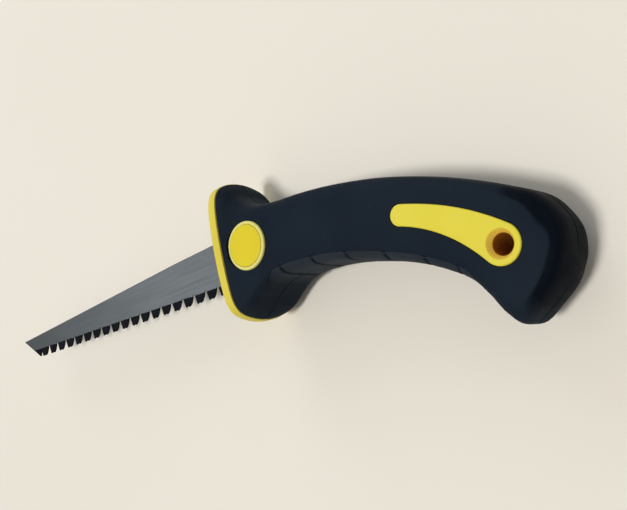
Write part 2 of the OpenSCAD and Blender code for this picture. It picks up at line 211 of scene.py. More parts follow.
def close_mesh(shape):
    """Splits faces into triangles, deletes the scraps that a boolean leaves and fills small gaps."""
    bmesh.ops.triangulate(shape, faces=shape.faces)
    bmesh.ops.dissolve_degenerate(shape, edges=shape.edges, dist=1e-7)
    left = set(shape.faces)
    scraps = []
    while left:
        island = [left.pop()]
        for face in island:
            for edge in face.edges:
                near = [f for f in edge.link_faces if f in left]
                left.difference_update(near)
                island += near
        if len(island) < SCRAP_FACES:
            scraps += island
    bmesh.ops.delete(shape, geom=scraps, context="FACES")
    bmesh.ops.holes_fill(shape, edges=[e for e in shape.edges if e.is_boundary], sides=8)
    bmesh.ops.triangulate(shape, faces=shape.faces)
    bmesh.ops.recalc_face_normals(shape, faces=shape.faces)


def finish_piece(obj, node, materials, sharp_angle=32):
    """Moves a piece into the frame, sets its sharp edges and materials, and puts it on its node's body."""
    low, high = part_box(node)
    obj.data.transform(PLACE)
    for vertex in obj.data.vertices:
        vertex.co = [min(max(c, a), b) for c, a, b in zip(vertex.co, low, high)]
    shape = bmesh.new()
    shape.from_mesh(obj.data)
    bmesh.ops.remove_doubles(shape, verts=shape.verts, dist=2e-7)
    bmesh.ops.dissolve_degenerate(shape, edges=shape.edges, dist=1e-7)
    close_mesh(shape)
    limit = math.radians(sharp_angle)
    for edge in shape.edges:
        edge.smooth = edge.calc_face_angle(0) < limit
    for face in shape.faces:
        face.smooth = True
    shape.to_mesh(obj.data)
    shape.free()
    obj.data.materials.clear()
    for material in materials:
        obj.data.materials.append(material)
    weighted = obj.modifiers.new("weighted_normals", "WEIGHTED_NORMAL")
    weighted.keep_sharp = True
    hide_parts(node)
    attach(obj, body_with(record["behaviour"]["bodies"], node))


# ---------------------------------------------------------------- materials

# Places of the colour sockets on a mix node
COLOUR_A = 6
COLOUR_B = 7
COLOUR_RESULT = 2


class Nodes:
    """Short calls for building a material's node tree."""

    def __init__(self, name):
        self.material = bpy.data.materials.new(name)
        self.material.use_nodes = True
        self.tree = self.material.node_tree
        self.shader = self.tree.nodes["Principled BSDF"]
        self.place = self.add("ShaderNodeTexCoord").outputs["Object"]

    def add(self, kind, **settings):
        node = self.tree.nodes.new(kind)
        for key, value in settings.items():
            setattr(node, key, value)
        return node

    def link(self, source, target):
        if isinstance(source, (int, float, tuple)):
            target.default_value = source
        else:
            self.tree.links.new(source, target)

    def math(self, operation, a, b=0.0, clamp=False):
        node = self.add("ShaderNodeMath", operation=operation, use_clamp=clamp)
        self.link(a, node.inputs[0])
        self.link(b, node.inputs[1])
        return node.outputs[0]

    def stretched(self, scale):
        node = self.add("ShaderNodeMapping")
        self.link(self.place, node.inputs["Vector"])
        node.inputs["Scale"].default_value = scale
        return node.outputs["Vector"]

    def noise(self, per_mm, detail=3.0, roughness=0.55, vector=None, distortion=0.0):
        """Noise with about this many features per millimetre."""
        node = self.add("ShaderNodeTexNoise")
        self.link(vector or self.place, node.inputs["Vector"])
        node.inputs["Scale"].default_value = per_mm * 1000
        node.inputs["Detail"].default_value = detail
        node.inputs["Roughness"].default_value = roughness
        node.inputs["Distortion"].default_value = distortion
        return node.outputs["Fac"]

    def ramp(self, value, low, high, from_value=0.0, to_value=1.0):
        node = self.add("ShaderNodeMapRange")
        node.inputs["From Min"].default_value = low
        node.inputs["From Max"].default_value = high
        node.inputs["To Min"].default_value = from_value
        node.inputs["To Max"].default_value = to_value
        self.link(value, node.inputs["Value"])
        return node.outputs["Result"]

    def mix(self, share, a, b):
        node = self.add("ShaderNodeMix", data_type="RGBA")
        self.link(share, node.inputs["Factor"])
        self.link(a, node.inputs[COLOUR_A])
        self.link(b, node.inputs[COLOUR_B])
        return node.outputs[COLOUR_RESULT]

    def bump(self, height, depth_mm, strength=1.0, normal=None):
        node = self.add("ShaderNodeBump")
        node.inputs["Strength"].default_value = strength
        node.inputs["Distance"].default_value = depth_mm * MM
        self.link(height, node.inputs["Height"])
        if normal is not None:
            self.link(normal, node.inputs["Normal"])
        return node.outputs["Normal"]

    def axis(self, name):
        node = self.add("ShaderNodeSeparateXYZ")
        self.link(self.place, node.inputs[0])
        return node.outputs[name]


def edge_wear_and_highlight(n, radius_mm):
    """1 near convex edges and 0 on flat faces, from how far a rounded normal leans from the true one."""
    soft = n.add("ShaderNodeBevel", samples=4)
    soft.inputs["Radius"].default_value = radius_mm * MM
    true = n.add("ShaderNodeNewGeometry")
    lean = n.add("ShaderNodeVectorMath", operation="DOT_PRODUCT")
    n.link(soft.outputs["Normal"], lean.inputs[0])
    n.link(true.outputs["Normal"], lean.inputs[1])
    return n.ramp(lean.outputs["Value"], 0.995, 0.86)


def moulded(name, colour, pale, deep, roughness, specular, grain_per_mm, grain_mm=0.01,
            edge_mm=0.35, edge_share=0.6, painted_shade_and_fade=None):
    """Moulded plastic or rubber: mottled colour, paler edges that are partly wear and partly a painted
    highlight, fine grain and faint scuffs.
    The last argument is a darker colour laid where the mesh's sunk attribute is high: painted shade on the
    butt's flank and in the strips' grooves, and a darker tone fading from the strips' front ends."""
    n = Nodes(name)
    mottle = n.ramp(n.noise(0.035, 4.0), 0.32, 0.68)
    base = n.mix(mottle, (*deep, 1.0), (*colour, 1.0))
    fleck = n.ramp(n.noise(1.1, 2.0), 0.62, 0.78, 0.0, 0.22)
    base = n.mix(fleck, base, (*pale, 1.0))
    # Paler colour on convex edges: partly worn plastic, partly a painted highlight where rounded edges
    # catch the light
    rubbed_and_highlit = n.math("MULTIPLY", edge_wear_and_highlight(n, edge_mm), n.ramp(n.noise(0.25, 3.0), 0.3, 0.6, 0.55, 1.0))
    rubbed_and_highlit = n.math("MULTIPLY", rubbed_and_highlit, edge_share)
    base = n.mix(rubbed_and_highlit, base, (*pale, 1.0))
    # Where the sunk attribute is high the colour darkens: painted shade on the butt's flank and in grooves,
    # and a darker tone at the strips' front ends
    if painted_shade_and_fade:
        sunk = n.add("ShaderNodeAttribute", attribute_name="sunk").outputs["Fac"]
        base = n.mix(n.ramp(sunk, 0.15, 0.6), base, (*painted_shade_and_fade, 1.0))
    n.link(base, n.shader.inputs["Base Color"])
    scuff_lines = n.noise(0.9, 5.0, 0.6, n.stretched((0.12, 1.0, 1.0)), 0.6)
    scuffed = n.ramp(scuff_lines, 0.55, 0.75, 0.0, 0.12)
    patchy = n.ramp(n.noise(0.08, 3.0), 0.3, 0.7, roughness - 0.05, roughness + 0.06)
    n.link(n.math("ADD", patchy, scuffed, True), n.shader.inputs["Roughness"])
    n.shader.inputs["Specular IOR Level"].default_value = specular
    grain = n.bump(n.noise(grain_per_mm, 2.0), grain_mm)
    wave = n.bump(n.noise(0.06, 2.0), 0.05, 0.5, grain)
    n.link(wave, n.shader.inputs["Normal"])
    return n.material


def sheet_steel(name, colour, streak_per_mm, roughness=0.42, along=(0.03, 1.0, 1.0)):
    """Rolled or ground steel with streaks along one axis and faint stains."""
    n = Nodes(name)
    streaks = n.noise(streak_per_mm, 4.0, 0.6, n.stretched(along))
    stain = n.noise(0.03, 4.0, 0.6)
    dark = tuple(c * 0.84 for c in colour)
    light = tuple(min(1.0, c * 1.14) for c in colour)
    base = n.mix(n.ramp(streaks, 0.3, 0.7), (*dark, 1.0), (*light, 1.0))
    base = n.mix(n.ramp(stain, 0.45, 0.75, 0.0, 0.35), base, (*dark, 1.0))
    n.link(base, n.shader.inputs["Base Color"])
    n.shader.inputs["Metallic"].default_value = 1.0
    n.link(n.ramp(streaks, 0.25, 0.75, roughness - 0.07, roughness + 0.1), n.shader.inputs["Roughness"])
    n.link(n.bump(streaks, 0.012), n.shader.inputs["Normal"])
    return n.material


def blade_steel(name, root_line, tip_x):
    """Ground sheet steel, darker towards its tip, with hardened dark teeth below a line given as
    (height at x = 0, slope) in metres."""
    n = Nodes(name)
    x, y = n.axis("X"), n.axis("Y")
    height = n.math("SUBTRACT", y, n.math("ADD", n.math("MULTIPLY", x, root_line[1]), root_line[0]))
    ragged = n.math("MULTIPLY", n.math("SUBTRACT", n.noise(0.5, 3.0), 0.5), 0.7 * MM)
    hardened = n.ramp(n.math("ADD", height, ragged), 0.0, -0.35 * MM)
    toward_tip = n.ramp(x, tip_x, tip_x + 110 * MM, 0.62, 0.0)
    streaks = n.noise(0.8, 5.0, 0.62, n.stretched((0.035, 1.0, 1.0)))
    cloud = n.noise(0.028, 5.0, 0.6)
    base = n.mix(n.ramp(streaks, 0.28, 0.72), (0.205, 0.230, 0.250, 1.0), (0.265, 0.292, 0.315, 1.0))
    base = n.mix(n.ramp(cloud, 0.4, 0.7, 0.0, 0.45), base, (0.182, 0.210, 0.232, 1.0))
    base = n.mix(toward_tip, base, (0.045, 0.052, 0.058, 1.0))
    patches = n.ramp(n.noise(0.2, 3.0), 0.35, 0.7)
    scale = n.mix(patches, (0.004, 0.005, 0.008, 1.0), (0.008, 0.010, 0.015, 1.0))
    base = n.mix(hardened, base, scale)
    n.link(base, n.shader.inputs["Base Color"])
    n.link(n.ramp(hardened, 0.0, 1.0, 0.85, 0.0), n.shader.inputs["Metallic"])
    n.shader.inputs["Specular IOR Level"].default_value = 0.05
    rough = n.ramp(streaks, 0.25, 0.75, 0.42, 0.56)
    n.link(n.math("ADD", rough, n.math("MULTIPLY", hardened, 0.1)), n.shader.inputs["Roughness"])
    scratches = n.bump(streaks, 0.01)
    n.link(n.bump(n.noise(0.05, 3.0), 0.06, 0.6, scratches), n.shader.inputs["Normal"])
    return n.material


def floor_material():
    n = Nodes("pale_floor")
    clouds = n.ramp(n.noise(0.004, 4.0), 0.3, 0.7)
    base = n.mix(clouds, (0.80, 0.755, 0.675, 1.0), (0.82, 0.78, 0.70, 1.0))
    n.link(base, n.shader.inputs["Base Color"])
    n.link(n.ramp(n.noise(0.02, 3.0), 0.3, 0.7, 0.8, 0.92), n.shader.inputs["Roughness"])
    n.shader.inputs["Specular IOR Level"].default_value = 0.15
    n.link(n.bump(n.noise(0.6, 3.0), 0.02, 0.5), n.shader.inputs["Normal"])
    return n.material


YELLOW_PALE = (0.80, 0.72, 0.22)
plate_yellow = moulded(
    "plate_yellow", (0.74, 0.62, 0.08), (0.78, 0.70, 0.24), (0.70, 0.57, 0.06),
    roughness=0.45, specular=0.2, grain_per_mm=3.0, edge_mm=0.5)
inlay_yellow = moulded(
    "inlay_yellow", (0.76, 0.665, 0.07), YELLOW_PALE, (0.73, 0.62, 0.045),
    roughness=0.5, specular=0.2, grain_per_mm=3.0)
button_yellow = moulded(
    "button_yellow", (0.76, 0.63, 0.030), YELLOW_PALE, (0.73, 0.58, 0.022),
    roughness=0.45, specular=0.2, grain_per_mm=3.0, grain_mm=0.008)
bezel_yellow = moulded(
    "bezel_yellow", (0.78, 0.73, 0.24), (0.82, 0.78, 0.40), (0.74, 0.69, 0.20),
    roughness=0.42, specular=0.25, grain_per_mm=3.0, grain_mm=0.008)
# The hanging hole's lining: the yellow plastic darkened to red-brown, painted shade for the deep shade
# inside the bore
lining_painted_shade = moulded(
    "lining_painted_shade", (0.50, 0.20, 0.03), (0.55, 0.26, 0.05), (0.42, 0.15, 0.02),
    roughness=0.5, specular=0.15, grain_per_mm=2.0, grain_mm=0.02)
# Its darkest colour is painted shade on the butt's flank
shell_dark = moulded(
    "shell_dark", (0.0122, 0.0190, 0.0290), (0.038, 0.049, 0.064), (0.0100, 0.0155, 0.0245),
    roughness=0.50, specular=0.02, grain_per_mm=2.2, grain_mm=0.03,
    edge_mm=0.3, edge_share=0.35, painted_shade_and_fade=(0.0035, 0.0055, 0.0100))
# Its darkest colour is painted shade in the grooves, and a darker tone near the strips' front ends
grip_soft = moulded(
    "grip_soft", (0.024, 0.032, 0.043), (0.055, 0.064, 0.076), (0.019, 0.026, 0.036),
    roughness=0.70, specular=0.08, grain_per_mm=3.2, grain_mm=0.03,
    edge_mm=0.3, edge_share=0.3, painted_shade_and_fade=(0.007, 0.011, 0.018))
# The hanging hole's mouth walls: the yellow plastic turned orange, a painted shade for the shade on those
# walls
mouth_painted_shade = moulded(
    "mouth_painted_shade", (0.88, 0.60, 0.09), (0.90, 0.66, 0.14), (0.80, 0.52, 0.06),
    roughness=0.5, specular=0.15, grain_per_mm=2.0)
yoke_grey = moulded(
    "yoke_grey", (0.16, 0.16, 0.17), (0.24, 0.24, 0.25), (0.13, 0.13, 0.14),
    roughness=0.5, specular=0.4, grain_per_mm=2.0, grain_mm=0.02)
liner_metal = sheet_steel("liner_metal", (0.50, 0.51, 0.52), 0.9)
guide_metal = sheet_steel("guide_metal", (0.50, 0.51, 0.53), 0.7)
spring_metal = sheet_steel("spring_metal", (0.36, 0.40, 0.46), 0.9, roughness=0.36)
peg_metal = sheet_steel("peg_metal", (0.55, 0.55, 0.55), 1.6, roughness=0.35, along=(1.0, 1.0, 0.1))
screw_metal = sheet_steel("screw_metal", (0.50, 0.50, 0.48), 1.4, roughness=0.38, along=(1.0, 1.0, 0.15))
edge_dark = sheet_steel("edge_dark", (0.06, 0.07, 0.075), 0.9, roughness=0.55)

# Nodes that keep the CAD's own mesh
kept_nodes = {
    "slot_liner": liner_metal, "button_yoke": yoke_grey, "blade_guide": guide_metal,
    "latch_spring": spring_metal, "latch_peg": peg_metal,
    "latch_screws": screw_metal, "handle_screws": screw_metal,
}
for node_name, material in kept_nodes.items():
    mesh = frame["nodes"][node_name].data
    mesh.materials.clear()
    mesh.materials.append(material)


# ---------------------------------------------------------------- the handle's form

# Each row joins a point on the spine side to a point on the belly side of the handle:
# (spine x, spine y, belly x, belly y, half thickness, squareness at the spine, squareness at the belly)
T = GRIP_HALF_T
P = GRIP_POWER
HAND = [
    (0, RIM_Y + RIM_HALF_H, 0, RIM_Y - RIM_HALF_H + 0.2, RIM_HALF_W - 0.7, RIM_POWER, RIM_LOW_POWER),
    (2.3, 25.3, 2.5, -27.5, RIM_HALF_W - 1.6, 5.5, 8),
    (5, 20.6, 5.7, -25.3, T + 1.8, 4, 9),
    (10, 16.3, 10.8, -21.4, T + 1.2, 3.6, 9),
    (17, 13.6, 17.5, -18, T + 0.7, 4, 7.5),
    (26, 12, 26, -16.9, T + 0.3, 4.5, 5.5),
    (37, 10.95, 36, -17.4, T, P, P),
    (49, 9.3, 47, -18.9, T, P, P),
    (61, 6.95, 57.5, -21.5, T, P, P),
    (73, 3.9, 69.5, -25.3, T, P, P),
    (85, -0.1, 80.5, -29.6, T, P, P),
    (97, -4.8, 90.3, -34.9, T, P, P),
    (108, -10, 97.9, -40.4, T, P, P),
    (117, -14.9, 102.6, -46.9, T, P, P),
    (124, -19.3, 106.1, -53.2, T - 0.1, 4.7, P),
    (128.2, -24.8, 110.2, -57.6, T - 0.5, 3.9, 3.8),
    (130.6, -31, 116, -54.6, T - 1.2, 3.6, 3.2),
    (130.1, -37, 122.2, -50.2, T - 3.2, 3.4, 3),
    (129.2, -40.2, 125.8, -46.6, 6.2, 3, 3),
    (128.6, -42, 127.7, -43.9, 2, 2.5, 2.5),
]
LAST_ROW = len(HAND) - 1
GRIP_FROM = 3.7
GRIP_TO = 12.6
SOFT_BAND = 3.2
GROOVE_DEPTH = 1.1
GROOVE_WIDTH = 0.055
GROOVE_ROWS = [4.8, 6.25, 7.65, 9, 10.35, 11.55]


def spaced(start, end, count):
    return [start + (end - start) * i / (count - 1) for i in range(count)]


def row_at(s):
    """The loft row at a place along the handle, on a smooth curve through the neighbouring rows."""
    i = min(int(math.floor(s)), LAST_ROW - 1)
    t = s - i
    a, b, c, d = HAND[max(i - 1, 0)], HAND[i], HAND[i + 1], HAND[min(i + 2, LAST_ROW)]
    return [0.5 * (2 * q + (r - p) * t + (2 * p - 5 * q + 4 * r - u) * t * t
                   + (3 * q - p - 3 * r + u) * t * t * t) for p, q, r, u in zip(a, b, c, d)]


def spine_at(s):
    return Vector(row_at(s)[0:2])


def belly_at(s):
    return Vector(row_at(s)[2:4])


# Size of the chamfer along the parting line
PARTING = 0.4
HALF_RING_STEPS = 40


def corner_point(angle, top_power, low_power, bow):
    """A place round a rounded rectangle of half sizes 1 whose sides bow out.
    Returns (share of the height, share of the width)."""
    c, h = math.cos(angle), math.sin(angle)
    power = top_power if c > 0 else low_power
    radius = (abs(c) ** power + abs(h) ** power) ** (-1 / power)
    y, z = c * radius, h * radius
    end_bow = (TOP_BOW if c > 0 else LOW_BOW) * bow
    return y * (1 - end_bow * z * z), z * (1 - SIDE_BOW * bow * y * y)


def turns(quarters, steps):
    """Angles round so many quarters of a ring, closest together at each corner."""
    angles = []
    for q in range(quarters):
        for k in range(steps):
            t = 2 * k / steps - 1
            angles.append(math.pi / 4 * (2 * q + 1 + math.copysign(abs(t) ** 1.4, t)))
    return angles


def half_ring(s, shrink=0.0):
    """Half ring above the parting plane, from spine to belly, chamfered along the parting line."""
    row = row_at(s)
    top, low = Vector(row[0:2]), Vector(row[2:4])
    mid = (top + low) / 2
    arm = (top - low) / 2
    reach = max(arm.length - shrink, 0.4)
    toward = arm.normalized()
    half_t = max(row[4] - shrink, 0.4)
    chamfer = min(PARTING, reach / 3, half_t / 3)
    bow = max(0.0, 1 - s / 3) ** 2
    ring = [tuple(mid + toward * (reach - chamfer)) + (0.0,), tuple(mid + toward * reach) + (chamfer,)]
    for angle in turns(2, HALF_RING_STEPS)[1:]:
        across, up = corner_point(angle, row[5], row[6], bow)
        ring.append(tuple(mid + toward * reach * across) + (half_t * up,))
    ring += [tuple(mid - toward * reach) + (chamfer,), tuple(mid - toward * (reach - chamfer)) + (0.0,)]
    return ring


def band_width(s):
    return SOFT_BAND * min(1, max(0.2, (s - GRIP_FROM) / 0.7), max(0.2, (GRIP_TO - s) / 0.7))


def band_edge(s, extra):
    low = belly_at(s)
    return low + (spine_at(s) - low).normalized() * (band_width(s) + extra)


def groove_at(s):
    return GROOVE_DEPTH * max(math.exp(-((s - g) / GROOVE_WIDTH) ** 2) for g in GROOVE_ROWS)


def soft_zone():
    """Outline of the strip's channel, which runs out past the belly."""
    rows = spaced(GRIP_FROM, GRIP_TO, 61)
    outer = [belly_at(s) - (spine_at(s) - belly_at(s)).normalized() * 3 for s in rows]
    inner = [band_edge(s, 0) for s in reversed(rows)]
    return outer + inner


def hollow_outline():
    rows = spaced(4.6, 15, 27)
    high = [spine_at(s) + (belly_at(s) - spine_at(s)).normalized() * 3 for s in rows]
    low = [band_edge(s, 2.4 if s < GRIP_TO - 0.4 else 3) for s in reversed(rows)]
    return high + low


# The inlay's outline: a circle that grows as it runs along a bowed line to the hanging hole
INLAY_START = Vector((79.9, -12.9))
INLAY_R1 = 3.75
INLAY_R2 = 6.8
INLAY_BOW = 2.45
INLAY_GROWTH = 1.6
INLAY_FLOOR_Z = GRIP_HALF_T - 1.8
INLAY_TOP_Z = GRIP_HALF_T + 0.3
INLAY_CHORD = Vector(HANG) - INLAY_START
INLAY_SIDE = Vector((-INLAY_CHORD.y, INLAY_CHORD.x)).normalized()


def inlay_run(t):
    return INLAY_CHORD + INLAY_SIDE * INLAY_BOW * 4 * (1 - 2 * t)


def inlay_swing(t):
    growth = (INLAY_R2 - INLAY_R1) * INLAY_GROWTH * t ** (INLAY_GROWTH - 1)
    return math.pi / 2 + math.asin(growth / inlay_run(t).length)


def inlay_edge(t, turn, grow):
    heading = math.atan2(inlay_run(t).y, inlay_run(t).x) + turn
    radius = INLAY_R1 + (INLAY_R2 - INLAY_R1) * t ** INLAY_GROWTH + grow
    centre = INLAY_START + INLAY_CHORD * t + INLAY_SIDE * INLAY_BOW * 4 * t * (1 - t)
    return tuple(centre + radius * Vector((math.cos(heading), math.sin(heading))))


def inlay_outline(grow):
    n = 32
    points = [inlay_edge(i / n, inlay_swing(i / n), grow) for i in range(n + 1)]
    points += [inlay_edge(1, inlay_swing(1) * (1 - 2 * i / n), grow) for i in range(1, n)]
    points += [inlay_edge(i / n, -inlay_swing(i / n), grow) for i in range(n, -1, -1)]
    points += [inlay_edge(0, -math.pi / 2 - math.pi * i / n, grow) for i in range(1, n)]
    return points


# ---------------------------------------------------------------- shells

def cross_rib(name, s):
    top, low = spine_at(s), belly_at(s)
    reach = (top - low).length - 9
    run = (low - top).normalized()
    middle = top + run * (2.5 + reach / 2)
    side = Vector((-run.y, run.x)) * 0.8
    ends = [middle - run * reach / 2, middle + run * reach / 2]
    outline = [ends[0] - side, ends[1] - side, ends[1] + side, ends[0] + side]
    return prism(name, outline, 1, HOLLOW_Z + 1)


def hollow_tool(name):
    """The shell's inner space, less the posts and ribs that stand in it."""
    tool = prism(name, hollow_outline(), -1, HOLLOW_Z)
    tool = combine(tool, block(name + "_nose", (4.2, -12, -1), (25, 8.5, HOLLOW_Z)), "UNION")
    for place in SCREWS[2:]:
        tool = combine(tool, disc("post", place, 4.6, 0, HOLLOW_Z + 1))
    tool = combine(tool, disc("hang_post", HANG, 7.2, 0, HOLLOW_Z + 1))
    for s in (8.2, 10, 12.2):
        tool = combine(tool, cross_rib("rib", s))
    return tool


def shell_body(name):
    rows = [(0.0, 0.4), (0.12, 0.04), (0.2, 0.0)] + [(0.1 * i, 0.0) for i in range(3, 10 * LAST_ROW + 1)]
    shell = loft(name, [half_ring(s, shrink) for s, shrink in rows])
    combine(shell, hollow_tool("hollow"))
    combine(shell, prism("strip_channel", soft_zone(), -1, GRIP_HALF_T + 6))
    half_h, half_t = NECK[0] + SEAT_GAP, NECK[1] + SEAT_GAP
    combine(shell, block("neck_slot", (-1, HUB[1] - half_h, -1), (4.25, HUB[1] + half_h, half_t)))
    layers = ((SEAT_GAP, INLAY_FLOOR_Z), (SEAT_GAP, GRIP_HALF_T - 0.45), (0.75, GRIP_HALF_T + 0.4))
    recess = [[(x, y, z) for x, y in inlay_outline(grow)] for grow, z in layers]
    combine(shell, loft("recess", recess))
    combine(shell, disc("hang_bore", HANG, HANG_R + 1.25, -1, GRIP_HALF_T + 3, 96))
    return shell


# Where along x the painted shade on the butt's flank starts, how far it takes to fade in, and the same two
# for the upright share of the surface's normal
BUTT_FROM = 112
BUTT_FADE = 10
FLANK_FROM = 0.975
FLANK_FADE = 0.08


def paint_butt_shade(shell):
    """Paints shade on the flank of the butt: its sunk attribute darkens the colour there, a painted shade
    for the shade that falls on that side.
    """
    sunk = shell.data.attributes.new("sunk", "FLOAT", "POINT")
    for i, vertex in enumerate(shell.data.vertices):
        along = (vertex.co.x - ORIGIN.x) / MM
        at_end = min(1.0, max(0.0, (along - BUTT_FROM) / BUTT_FADE))
        on_flank = min(1.0, max(0.0, (FLANK_FROM - abs(vertex.normal.z)) / FLANK_FADE))
        sunk.data[i].value = at_end * on_flank


def upper_shell():
    shell = shell_body("upper_shell_body")
    for x in GUIDE_RIBS_X:
        rib = block("guide_rib", (x - 1, HUB[1] - 7, 2.25), (x + 1, HUB[1] + 7, HOLLOW_Z + 0.5))
        combine(shell, rib, "UNION")
    for place in SCREWS:
        combine(shell, disc("screw_bore", place, SCREW_R - 0.2, -1, 9.5))
    sleeve_r, yoke_r = CAP_R + 0.85, CAP_R + 0.95
    seat = [(0, -1), (sleeve_r, -1), (sleeve_r, YOKE_TOP_Z - 5), (yoke_r, YOKE_TOP_Z - 5),
            (yoke_r, YOKE_TOP_Z + 0.1), (sleeve_r, YOKE_TOP_Z + 0.1), (sleeve_r, BEZEL_Z),
            (BEZEL_R + 0.1, BEZEL_Z), (BEZEL_R + 0.25, BEZEL_Z + 2), (0, BEZEL_Z + 2)]
    combine(shell, lathe("button_seat", seat, HUB))
    finish_piece(shell, "upper_shell", [shell_dark])
    paint_butt_shade(shell)


def lower_shell():
    shell = flip_to_lower(shell_body("lower_shell_body"))
    floor_z = -HOLLOW_Z - 0.5
    for x in GUIDE_RIBS_X:
        for side in (-1, 1):
            middle = HUB[1] + side * 5.9
            foot = block("guide_foot", (x - 1, middle - 1.1, floor_z), (x + 1, middle + 1.1, -2.25))
            combine(shell, foot, "UNION")
    boss = block("latch_boss", (35.5, HUB[1] - 6.9, floor_z), (43.5, HUB[1] + 6.9, -4.75))
    combine(shell, boss, "UNION")
    well_r, hole_r = SCREW_HEAD_R + 0.2, SCREW_R + 0.1
    profile = [(0, -20), (SCREW_HEAD_R + 0.75, -20), (well_r, -12.5), (well_r, -SCREW_SEAT_Z),
               (hole_r, -SCREW_SEAT_Z), (hole_r, 1), (0, 1)]
    for place in SCREWS:
        combine(shell, lathe("screw_well", profile, place, 64))
    for side in (-1, 1):
        combine(shell, disc("pilot", (LATCH_SCREW_X, HUB[1] + side * LATCH_SCREW_Y), 1.3, -10.2, -2.2, 32))
    finish_piece(shell, "lower_shell", [shell_dark])
    paint_butt_shade(shell)


# ---------------------------------------------------------------- soft strips

def strip_ring(s):
    """Section of the strip: up its inner wall, over a lip, round the belly and down to the parting line."""
    row = row_at(s)
    top, low = Vector(row[0:2]), Vector(row[2:4])
    mid = (top + low) / 2
    reach = (top - low).length / 2
    toward = (top - low).normalized()
    power = row[6]
    dip = groove_at(s)
    inner = 1 - (band_width(s) - SEAT_GAP) / reach
    half_t = row[4]

    def height(along):
        return half_t * max(0.0, 1 - along ** power) ** (1 / power)

    lip = 0.28
    foot = mid - toward * reach * inner
    ring = [tuple(foot) + (0.0,), tuple(foot) + (height(inner) - lip - dip,)]
    first = min(inner + lip / reach, 0.995)
    steps = 22
    for k in range(steps):
        along = first + (1 - first) * math.sin(math.pi / 2 * k / steps)
        up = height(along)
        share = k / steps
        sunk = dip * min(1.0, 0.15 + share * 4)
        flat = mid - toward * (reach * along - dip * share)
        ring.append(tuple(flat) + (up - sunk * (up / half_t) ** 2,))
    edge = reach - dip
    ring.append(tuple(mid - toward * edge) + (PARTING,))
    ring.append(tuple(mid - toward * (edge - PARTING)) + (0.0,))
    return ring


def soft_strips():
    """The strips. Their sunk attribute is high in the grooves, where it darkens the colour as painted
    shade, and fades from the front end, where it gives a darker tone.
    """
    rows = spaced(GRIP_FROM + 0.01, GRIP_TO - 0.01, 420)
    rings = [strip_ring(s) for s in rows]
    upper = loft("upper_grip_strip", rings)
    sunk = upper.data.attributes.new("sunk", "FLOAT", "POINT")
    # sunk darkens the colour: painted shade in the grooves, a darker tone fading from the front end
    for i, s in enumerate(rows):
        front = 0.6 - 0.5 * (s - GRIP_FROM)
        for j in range(len(rings[0])):
            share = min(1.0, max(0.0, (j - 3) / 4))
            sunk.data[i * len(rings[0]) + j].value = max(front, groove_at(s) / GROOVE_DEPTH * share)
    lower = flip_to_lower(copy_of(upper, "lower_grip_strip"))
    finish_piece(upper, "upper_grip", [grip_soft], 40)
    finish_piece(lower, "lower_grip", [grip_soft], 40)


# ---------------------------------------------------------------- inlays and the hanging hole

def inlays():
    layers = [(0.0, INLAY_FLOOR_Z), (0.0, INLAY_TOP_Z - 0.6)]
    for k in range(1, 5):
        a = math.pi / 2 * k / 4
        layers.append((-0.6 * (1 - math.cos(a)), INLAY_TOP_Z - 0.6 + 0.6 * math.sin(a)))
    upper = loft("upper_inlay_face", [[(x, y, z) for x, y in inlay_outline(grow)] for grow, z in layers])
    top_r = HANG_R + HANG_FLARE
    mouth = [(0, INLAY_FLOOR_Z - 1), (HANG_R, INLAY_FLOOR_Z - 1), (HANG_R, INLAY_FLOOR_Z),
             (top_r - 0.15, INLAY_TOP_Z - 0.3), (top_r + 0.3, INLAY_TOP_Z + 0.05),
             (top_r + 0.3, INLAY_TOP_Z + 1), (0, INLAY_TOP_Z + 1)]
    combine(upper, lathe("mouth", mouth, HANG))
    lower = flip_to_lower(copy_of(upper, "lower_inlay_face"))
    for obj, node in ((upper, "upper_inlay"), (lower, "lower_inlay")):
        finish_piece(obj, node, [inlay_yellow, mouth_painted_shade])
        # The mouth's sloping walls take the second material, the orange painted shade
        axis = (ORIGIN + Vector(HANG + (0,)) * MM).to_2d()
        for face in obj.data.polygons:
            if abs(face.normal.z) < 0.95 and (face.center.to_2d() - axis).length < (top_r + 0.05) * MM:
                face.material_index = 1


def hang_sleeve():
    end = INLAY_FLOOR_Z - SEAT_GAP
    profile = [(HANG_R + 1.2, -end + 0.2), (HANG_R + 1.2, end - 0.2), (HANG_R + 1.0, end), (HANG_R, end),
               (HANG_R, end - 4), (HANG_R, 0), (HANG_R, -end + 4), (HANG_R, -end), (HANG_R + 1.0, -end)]
    # The sleeve takes the red-brown lining colour, painted shade for the inside of the bore
    finish_piece(lathe("hang_sleeve_tube", profile, HANG), "hang_sleeve", [lining_painted_shade])


# ---------------------------------------------------------------- button

